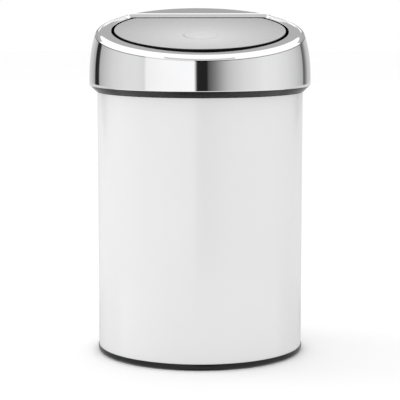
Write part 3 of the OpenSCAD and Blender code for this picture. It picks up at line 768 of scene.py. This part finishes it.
panel = joined([lid_section(2 * math.pi * k / lid_steps) for k in range(lid_steps)], closed=False)
merge(panel)
piece("panel", panel, brushed_steel, "lid", ["lid_panel"], crease=38)


# ---- Studio ----
# White floor that keeps the bin's shadow, a white surround, and far round them a globe of lit and dark boards
# that only shiny surfaces see.
studio_mid = Vector((0, 0, 0.25))
studio_r = 5
floor_r = 6
floor_glow = 0.04
surround_level = 0.98


def backdrop(name, shape, finish):
    """Adds a mesh as a part of the studio."""
    mesh = bpy.data.meshes.new(name)
    shape.to_mesh(mesh)
    shape.free()
    mesh.materials.append(finish.material)
    thing = bpy.data.objects.new(name, mesh)
    bpy.context.collection.objects.link(thing)
    return thing


def in_sight(nodes):
    """1 for what the camera sees, straight or by way of metal or glass, and 0 for light on other things."""
    path = nodes.make("LightPath").outputs
    seen = nodes.math("MAXIMUM", path["Is Camera Ray"], path["Is Glossy Ray"])
    return nodes.math("MAXIMUM", seen, path["Is Transmission Ray"])


floor_finish = Finish("floor", {
    "Base Color": (0.96, 0.96, 0.96, 1), "Roughness": 0.9, "Emission Color": (1, 1, 1, 1)
})
floor_finish.feed(floor_finish.shader, "Emission Strength", in_sight(floor_finish) * floor_glow)
ground = bmesh.new()
bmesh.ops.create_circle(ground, cap_ends=True, segments=96, radius=floor_r)
floor = backdrop("floor", ground, floor_finish)
floor.visible_glossy = False

world = bpy.data.worlds.new("studio")
world.use_nodes = True
bpy.context.scene.world = world
surround = Nodes(world.node_tree)
background = surround.tree.nodes["Background"]
surround.feed(background, "Color", (1, 1, 1, 1))
surround.feed(background, "Strength", in_sight(surround) * (1 - surround_level) + surround_level)

# Weak, soft light from the left and a little behind
side_light = bpy.data.lights.new("side_light", "AREA")
side_light.shape = "DISK"
side_light.size = 1.6
side_light.energy = 11
side_lamp = bpy.data.objects.new("side_light", side_light)
side_lamp.location = (-2.2, 0.6, 0.9)
side_lamp.rotation_euler = (studio_mid - side_lamp.location).to_track_quat("-Z", "Y").to_euler()
bpy.context.collection.objects.link(side_lamp)
side_lamp.visible_camera = False
side_lamp.visible_glossy = False

# Upright boards, as (degrees that an upright mirror at the bin has to face for the camera to see the board,
# + to the right; brightness)
boards = [
    (-90, 0.85), (-75, 0.66), (-71, 0.5), (-69.2, 0.46), (-68.8, 0.02), (-63.6, 0.03), (-62.9, 0.5),
    (-57.5, 0.64), (-50, 0.79), (-41, 0.88), (-33.5, 0.89), (-28.5, 0.84), (-28, 1.07), (-17, 1.15),
    (-2.4, 1.18), (-1.9, 0.02), (3.6, 0.02), (4.1, 0.1), (7.6, 0.25), (10.7, 0.43), (13.7, 0.6), (16.8, 0.71),
    (23, 0.84), (34.5, 0.96), (42, 0.94), (50, 0.85), (57.5, 0.72), (65.8, 0.51), (66.8, 0.15), (68.6, 0.15),
    (74, 0.58), (90, 0.8)
]
overhead = 1.25
to_degrees = 180 / math.pi
globe_light = Finish("boards")


def vector(operation, *values):
    """The outcome of a Vector Math node of the globe's finish."""
    return globe_light.make("VectorMath", dict(enumerate(values)), operation=operation).outputs[0]


# The direction of a place on the globe from the bin, and the facing of a mirror at the bin that shows it to
# the camera: how far it is turned to the side, in radians, and how steeply it looks up, as a sine
to_camera = (Vector(camera.location) - studio_mid).normalized()
away = vector("NORMALIZE", vector("SUBTRACT", globe_light.place, studio_mid))
facing = vector("NORMALIZE", vector("ADD", away, to_camera))
sideways, forwards = globe_light.axis("X", facing), globe_light.axis("Y", facing) * -1
turned_to = globe_light.math("ARCTAN2", sideways, forwards) + yaw
steep = globe_light.axis("Z", facing)
height = globe_light.math("ARCSINE", globe_light.axis("Z", away)) * to_degrees
around = globe_light.math("ARCTAN2", globe_light.axis("X", away), globe_light.axis("Y", away))
from_rear = abs(around - yaw) * to_degrees
stops = [(angle / 180 + 0.5, light) for angle, light in boards]
upright = globe_light.field("ValToRGB", 0, {0: turned_to / math.pi + 0.5}, stops=stops)

# The rest of the globe, as (where, brightness), each laid over what comes before it
table = height.between(-76, -14)
behind = from_rear < 42
beside_rear = from_rear.between(3.2, 14)
light = upright
for part, value in (
    # Far off, low down at the sides
    ((height < -3.5) * (abs(turned_to) > 0.95), 0.78),
    # The table round the bin, dimmer at the sides, and the bin's painted shadow right under it
    (table, 1.1),
    (table * (abs(turned_to) > 0.85), 0.62),
    (height < -76, 0.3),
    # The dim upper ends of the boards, the ceiling over them, and a grey board high up in it
    (steep > 0.315, upright * ((upright > 1) * 0.35 + 0.3)),
    (steep > 0.38, overhead),
    (height.between(45, 63) * (abs(turned_to) < 0.3), 0.7),
    # The grey wall behind the bin, with a lit board over a dark one on either side, and the ceiling above it
    (behind * (steep > 0.38) * (height > 6), 0.45),
    (behind * (steep > 0.38) * (height > 20), 0.5),
    (beside_rear * height.between(15, 21.5), 1.2),
    (beside_rear * height.between(1, 15), 0.25),
    (behind * (height > 28.5), overhead),
):
    light = light * (1 - part) + part * value
lamp = globe_light.make("Emission", {"Strength": light})
globe_light.feed(globe_light.tree.nodes["Material Output"], "Surface", lamp.outputs[0])
globe = bmesh.new()
bmesh.ops.create_uvsphere(
    globe, u_segments=96, v_segments=48, radius=studio_r, matrix=Matrix.Translation(studio_mid)
)
studio = backdrop("boards", globe, globe_light)
for ray in ("camera", "diffuse", "shadow", "transmission", "volume_scatter"):
    setattr(studio, "visible_" + ray, False)

bpy.context.scene.view_settings.view_transform = "Standard"
